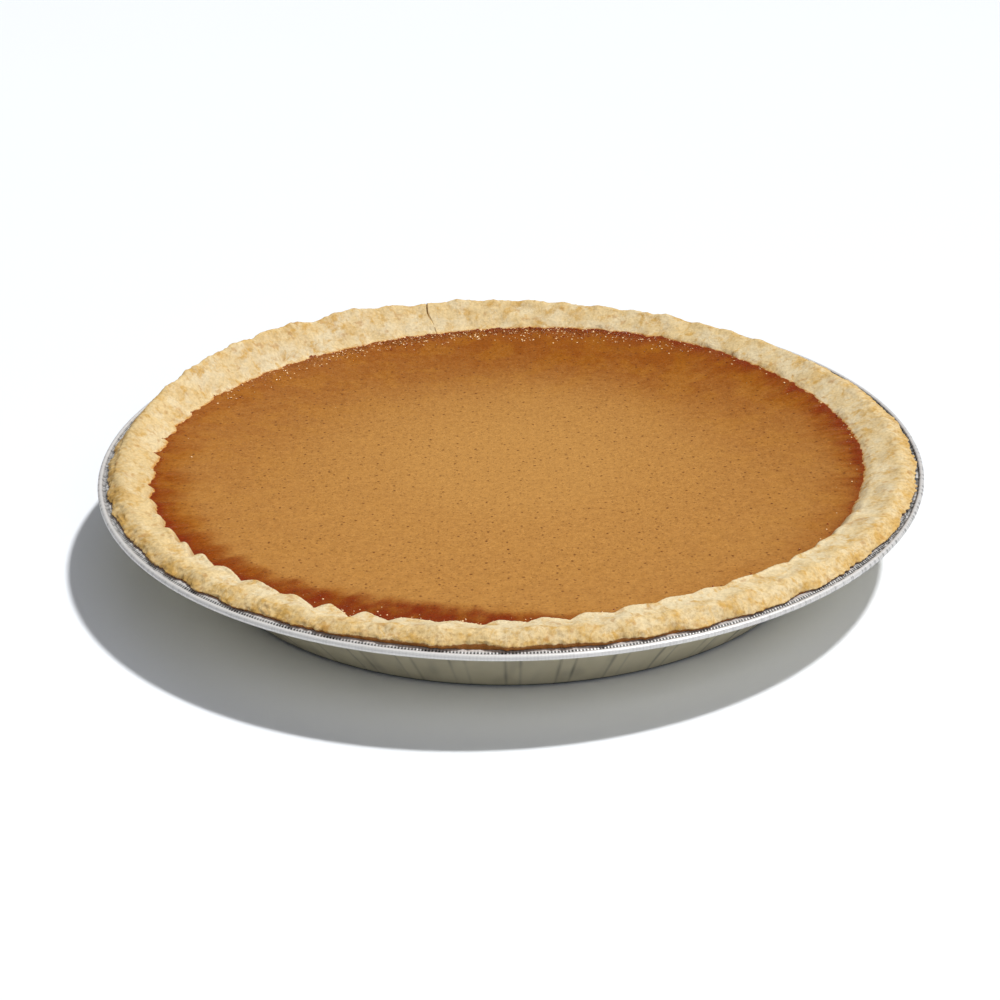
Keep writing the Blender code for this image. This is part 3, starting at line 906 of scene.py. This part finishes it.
def crust_relief(azimuth, steps, across):
    """Relief square to the rim, the crumbs and the swellings. Crumbs and grain are noise with its
    valleys folded up, so that round lumps meet in creases, on the outer half and the lip. The inner
    slope is smooth with soft flutes. The left is rougher, and the front right smoother."""
    outer = ease(UNDERCUT, EDGE, steps) * ease(UPPER_SLOPE + 0.5, CREST - 0.3, steps)
    inner = ease(CREST, SLOPE, steps) * ease(CONTACT + 0.3, LIP, steps)
    at_lip = ease(SLOPE, LIP, steps)
    crumbs = 0.5 - np.abs(random_relief(azimuth, across, *CRUMBS))
    grain = 0.5 - np.abs(random_relief(azimuth, across, *GRAIN))
    swellings = random_relief(azimuth, across, *SWELLINGS)
    swellings = swellings * (1 - SMOOTH_SHARE * swell(azimuth, *SMOOTH_SIDE))
    relief = CRUMB_HEIGHT * crumbs * (INNER_CRUMBS + outer)
    relief = relief + GRAIN_HEIGHT * grain * (INNER_GRAIN + outer + LIP_GRAIN * at_lip)
    relief = relief * (1 + ROUGH_SHARE * swell(azimuth, *ROUGH_SIDE))
    relief = relief + SWELL_HEIGHT * swellings * (outer + inner)
    return relief - WORN_FLUTES * flute(azimuth) * inner, crumbs, swellings


def crack_share(azimuth, steps):
    """The crack's depth in it and 0 away from it: the distance round the rim to a zigzag line, given
    by its offset at some rings, against the crack's half width there."""
    line, half_width, depth = (np.interp(steps, *zip(*table)) for table in
                               (CRACK_TURNS, CRACK_HALF_WIDTHS, CRACK_DEPTHS))
    away = np.abs((azimuth - np.radians(CRACK_AZIMUTH)) * CREST_RADIUS - line)
    inside = depth * ease(half_width, CRACK_CORE * half_width, away)
    return inside * ease(UNDERCUT, EDGE, steps) * ease(CONTACT, LIP, steps)


def crust_tones(azimuth, steps, crumbs, swellings, crack):
    """How golden the outer half and the edge are, how burnt the crust is under its edge and in the
    crack, how stained at the lip, and how pale on the inner slope, which at the right is painted light.
    Below 0,
    pale means dim: painted shade over the left side."""
    outer = ease(LOWER_EDGE, EDGE + 0.4, steps) * ease(UPPER_SLOPE + 0.2, SHOULDER + 0.3, steps)
    golden = GOLDEN_OUTER * outer * (1 + GOLDEN_CRUMBS * crumbs)
    golden = golden + GOLDEN_SWELLS * swellings * ease(SLOPE, CREST, steps)
    golden = golden + GOLDEN_EDGE * ease(SHOULDER + 0.3, EDGE, steps)
    golden = golden * (1 - FAIR_SHARE * swell(azimuth, *FAIR_SIDE))
    burnt = BURNT_EDGE * ease(EDGE + 0.15, LOWER_EDGE, steps) + BURNT_CRACK * crack
    stain = STAINED_LIP * ease(LIP + 0.5, CONTACT - 0.05, steps)
    # Pale holds painted light at the right, less the painted shade that dims the left
    pale = ease(CREST - 0.2, UPPER_SLOPE + 0.3, steps) * side_sum(azimuth, PALE_SIDES)
    return golden, burnt, stain, pale - PAINTED_SHADE_SHARE * swell(azimuth, *PAINTED_SHADE_SIDE)


def make_crust(material):
    """Floor and wall in the tin, the rim with its relief and crack, then the wall and the floor that
    hold the filling. The crack is pressed down towards the flange."""
    azimuth = crust_azimuths()
    foot = FOOT_CLEARANCE + FLANGE_RISE
    rings = rim_rings(azimuth, foot)
    steps = np.concatenate([np.arange(count) / count + ring for ring, count in enumerate(CRUST_ROWS)])
    steps = np.append(steps, CONTACT)
    profile = through(rings, steps)
    middle = profile.mean(axis=1)
    across = np.append(0, np.cumsum(np.linalg.norm(np.diff(middle, axis=0), axis=1)))[:, None]
    steps = steps[:, None]
    relief, crumbs, swellings = crust_relief(azimuth, steps, across)
    rim = pushed_out(profile, relief)
    crack = crack_share(azimuth, steps)
    rim[..., 1] = blend(rim[..., 1], RIM_HEIGHT + foot, CRACK_DEPTH_SHARE * crack)
    golden, burnt, stain, pale = crust_tones(azimuth, steps, crumbs, swellings, crack)
    outer_heel = SHEET + HEEL_HEIGHT + GAP
    inner_floor = SHEET + GAP + CRUST_FLOOR
    below = plain_rings(azimuth, (BASE_RADIUS - HEEL_WIDTH - GAP, SHEET + GAP),
                        (wall_inner(outer_heel, GAP), outer_heel),
                        (wall_inner(RIM_HEIGHT + foot, GAP), RIM_HEIGHT + foot))
    inside = plain_rings(azimuth, (wall_inner(inner_floor, GAP + CRUST_WALL), inner_floor))
    hidden_below, hidden_inside = np.zeros(below.shape[:2]), np.zeros(inside.shape[:2])

    def padded(values, below_value=0.0):
        values = np.broadcast_to(values, rim.shape[:2])
        return np.concatenate([hidden_below + below_value, values, hidden_inside])

    piece = make_piece("pie_crust_baked", azimuth, np.concatenate([below, rim, inside]),
                       (SHEET + GAP, inner_floor), material, along=padded(across),
                       golden=padded(golden), burnt=padded(burnt, 1), stain=padded(stain),
                       pale=padded(pale))
    attach(piece, "pie_crust")


def filling_height(share):
    """Height of the surface at a share of the way out: flat in the middle, and curved up to its edge
    as a power of the share."""
    return RIM_HEIGHT + FILLING_EDGE_HEIGHT - FILLING_DIP * (1 - share**DIP_POWER)


def filling_surface(azimuth, share):
    """Radius and height of the surface at a share of the way out. The teeth and the climb at the
    crust fade out as a high power of the share."""
    out = filling_contact(azimuth) + FILLING_LAP - FILLING_RADIUS
    climb = contact_height(azimuth) - FILLING_EDGE_HEIGHT
    fade = share**TOOTH_FADE_POWER
    return FILLING_RADIUS * share + out * fade, filling_height(share) + climb * fade


def caramel_and_toast(azimuth, across, radius, inset, folds, waves):
    """How far the filling is caramelised and toasted. Caramel deepens in two smooth steps as the
    inset from the crust falls against the band's width. Folds and tongues make that uneven. One sharp
    blotched step takes over at the front left. Toast falls off with the inset, clouded by waves."""
    width = CARAMEL_LEAST_WIDTH + side_sum(azimuth, CARAMEL_WIDTHS)
    tongues = random_relief(azimuth, across / TONGUE_STRETCH, *TONGUES)
    reach = inset / width + CARAMEL_FOLDS * folds + TONGUE_SHARE * swell(azimuth, *TONGUE_SIDE) * tongues
    depth = 0.5 * ease(*CARAMEL_OUTER_STEP, reach) + 0.5 * ease(*CARAMEL_INNER_STEP, reach)
    blotched = BLOTCH_MIDDLE + BLOTCH_SPREAD * random_relief(azimuth, across, *BLOTCHES)
    sharp = SHARP_SHARE * swell(azimuth, *SHARP_SIDE)
    syrupy = ease(*SHARP_STEP, reach)
    depth = blend(depth, blotched * syrupy, sharp)
    caramel = (CARAMEL_LEAST + side_sum(azimuth, CARAMEL_SIDES)) * depth
    cloudy = inset + WAVE_CLOUD * waves + FOLD_CLOUD * folds
    toast = HEART_TOAST * ease(*HEART_FADE, radius)
    toast = toast + side_sum(azimuth, TOAST_SIDES) * ease(*TOAST_FADE, cloudy)
    toast = toast + (RIND_TOAST + side_sum(azimuth, RIND_SIDES)) * ease(*RIND_FADE, cloudy)
    return caramel, toast + SHARP_TOAST * sharp * syrupy


def make_filling(material):
    """Floor and side, then the surface from its edge to its middle. Near the edge the skin has radial
    folds, which are noise drawn out along the radius, broad waves, and small blisters."""
    azimuth = even_turn(FILLING_COLUMNS)
    edge_shares = np.linspace(1, FILLING_EDGE_SHARE, FILLING_EDGE_ROWS, endpoint=False)
    inner_shares = np.linspace(FILLING_EDGE_SHARE, FILLING_CORE_SHARE, FILLING_INNER_ROWS)
    share = np.concatenate([edge_shares, inner_shares])[:, None]
    radius, height = filling_surface(azimuth, share)
    inset = filling_contact(azimuth) - radius
    near = ease(*FOLD_FADE, inset) * ease(*RIM_FADE, inset)
    folded = LEAST_FOLDS + side_sum(azimuth, FOLD_SIDES)
    across = share * SKIN_REACH
    folds = random_relief(azimuth, across / FOLD_STRETCH, *SKIN_FOLDS)
    waves = random_relief(azimuth, across, *SKIN_WAVES) * share**2
    blistered = side_sum(azimuth, BLISTER_SIDES)
    blisters = np.maximum(random_relief(azimuth, across, *SKIN_BLISTERS), 0)
    relief = FOLD_HEIGHT * near * folded * folds + WAVE_HEIGHT * waves * ease(*WAVE_FADE, inset)
    relief = relief + BLISTER_HEIGHT * ease(*BLISTER_FADE, inset) * blistered * blisters
    surface = pushed_out(np.stack([radius, height], axis=2), relief)
    floor = SHEET + 2 * GAP + CRUST_FLOOR
    below = plain_rings(azimuth, (wall_inner(floor, 2 * GAP + CRUST_WALL), floor))
    caramel, toast = caramel_and_toast(azimuth, across, radius, inset, folds, waves)
    patches = random_relief(azimuth, across, *BLISTER_PATCHES) + ease(*PATCH_FADE, inset)
    blister = np.clip(blistered, 0, 1) * ease(*GLOSS_FADE, inset) * ease(*PATCH_EDGE, patches)

    def padded(values):
        return np.concatenate([values[:1], values])

    piece = make_piece("pumpkin_custard", azimuth, np.concatenate([below, surface]),
                       (floor, filling_height(0)), material, along=padded(inset),
                       caramel=padded(caramel), toast=padded(toast), blister=padded(blister))
    attach(piece, "pumpkin_filling")


def small_ball():
    """A flattened ball of rings between two poles: its points, triangles and quads."""
    turn = 2 * np.pi * np.arange(SYRUP_COLUMNS) / SYRUP_COLUMNS
    tilt = np.pi * np.arange(1, SYRUP_RINGS + 1) / (SYRUP_RINGS + 1)
    rings = np.stack([np.outer(np.sin(tilt), np.cos(turn)), np.outer(np.sin(tilt), np.sin(turn)),
                      np.outer(np.cos(tilt), np.ones(SYRUP_COLUMNS))], axis=2).reshape(-1, 3)
    points = np.concatenate([[(0, 0, 1)], rings, [(0, 0, -1)]]) * (1, 1, SYRUP_FLATNESS)
    column = np.arange(SYRUP_COLUMNS)
    beside = (column + 1) % SYRUP_COLUMNS
    bottom = len(points) - 1
    lowest = bottom - SYRUP_COLUMNS
    top_fan = np.stack([0 * column, 1 + column, 1 + beside], axis=1)
    bottom_fan = np.stack([bottom + 0 * column, lowest + beside, lowest + column], axis=1)
    upper = 1 + SYRUP_COLUMNS * np.arange(SYRUP_RINGS - 1)[:, None]
    lower = upper + SYRUP_COLUMNS
    bands = np.stack([upper + column, lower + column, lower + beside, upper + beside], axis=2)
    return points, np.concatenate([top_fan, bottom_fan]), bands.reshape(-1, 4)


def make_syrup_beads(material):
    """Small glossy beads of syrup on the filling beside the crust. Each is a flattened ball, half
    sunk, at a random place in the sides where the custard has blistered."""
    random = np.random.default_rng(SYRUP_SEED)
    tries = random.uniform(0, 2 * np.pi, SYRUP_TRIES * SYRUP_BEADS)
    weight = side_sum(tries, BLISTER_SIDES)
    azimuth = random.choice(tries, SYRUP_BEADS, replace=False, p=weight / weight.sum())
    share = 1 - SYRUP_REACH * random.beta(*SYRUP_CROWDING, SYRUP_BEADS)
    radius, height = filling_surface(azimuth, share)
    size = random.uniform(SYRUP_LEAST, SYRUP_MOST, SYRUP_BEADS)
    ball, triangles, quads = small_ball()
    place = np.stack([radius * np.cos(azimuth), radius * np.sin(azimuth), height], axis=1)
    points = (place[:, None] + size[:, None, None] * ball).reshape(-1, 3)
    starts = len(ball) * np.arange(SYRUP_BEADS)[:, None, None]
    faces = (starts + triangles).reshape(-1, 3).tolist() + (starts + quads).reshape(-1, 4).tolist()
    mesh = bpy.data.meshes.new("syrup_beads")
    mesh.from_pydata(points, [], faces)
    piece = smooth_object("syrup_beads", mesh, material)
    attach(piece, "pumpkin_filling")


def make_floor():
    """A large square ground, nearly white."""
    mesh = bpy.data.meshes.new("floor")
    corners = FLOOR_REACH * np.array([(-1, -1, 0), (1, -1, 0), (1, 1, 0), (-1, 1, 0)])
    mesh.from_pydata(corners, [], [(0, 1, 2, 3)])
    finish = Finish("floor", Roughness=0.9)
    cloud = finish.noise(0.3, detail=2)
    finish.feed(finish.shader, "Base Color", finish.mix(cloud, FLOOR_COOL, FLOOR_WARM))
    mesh.materials.append(finish.material)
    floor = new_object("floor", mesh)


def direction_from(azimuth, elevation):
    """Unit vector from the pie towards an azimuth and an elevation, in degrees."""
    across = np.cos(np.radians(elevation))
    angle = np.radians(azimuth)
    return Vector((across * np.cos(angle), across * np.sin(angle), np.sin(np.radians(elevation))))


def make_box(name, azimuth, elevation, width, height, power):
    """A rectangular soft box, turned to the pie."""
    light = bpy.data.lights.new(name, "AREA")
    light.shape = "RECTANGLE"
    light.size, light.size_y, light.energy = width, height, power
    light.color = ROOM_COLOUR[:3]
    lamp = new_object(name, light)
    towards = direction_from(azimuth, elevation)
    lamp.location = BOX_DISTANCE * towards
    lamp.rotation_euler = towards.to_track_quat("Z", "Y").to_euler()


def make_light():
    """The key, both soft boxes and the room."""
    key = bpy.data.lights.new("key", "SUN")
    key.energy = KEY_STRENGTH
    key.angle = np.radians(KEY_SPREAD)
    lamp = new_object("key", key)
    lamp.rotation_euler = direction_from(KEY_AZIMUTH, KEY_ELEVATION).to_track_quat("Z", "Y").to_euler()
    make_box("front_box", **FRONT_BOX)
    make_box("top_box", **TOP_BOX)
    room = bpy.data.worlds.new("room")
    room.use_nodes = True
    background = room.node_tree.nodes["Background"]
    background.inputs["Color"].default_value = ROOM_COLOUR
    background.inputs["Strength"].default_value = ROOM_STRENGTH
    bpy.context.scene.world = room


def make_camera():
    """The camera's axes: its line of sight, and its right and up turned about that line by the roll."""
    sight = (AIM - EYE).normalized()
    right = sight.cross(Vector((0, 0, 1))).normalized()
    up = right.cross(sight)
    axes = (np.cos(ROLL) * right + np.sin(ROLL) * up, np.cos(ROLL) * up - np.sin(ROLL) * right, -sight)
    data = bpy.data.cameras.new("camera")
    data.lens = LENS
    data.sensor_width = SENSOR
    camera = new_object("camera", data)
    camera.matrix_world = Matrix.Translation(EYE) @ Matrix(axes).transposed().to_4x4()
    bpy.context.scene.camera = camera


make_tin_body(foil("foil", FOIL_METALLIC, FOIL))
# Painted light: the rim gets a paler, less metallic copy of the foil
make_tin_rim(foil("foil_rim", LIT_FOIL_METALLIC, LIT_FOIL))
make_crust(pastry())
make_filling(custard())
make_syrup_beads(syrup())
make_floor()
make_light()
make_camera()
bpy.context.scene.view_settings.view_transform = "Standard"
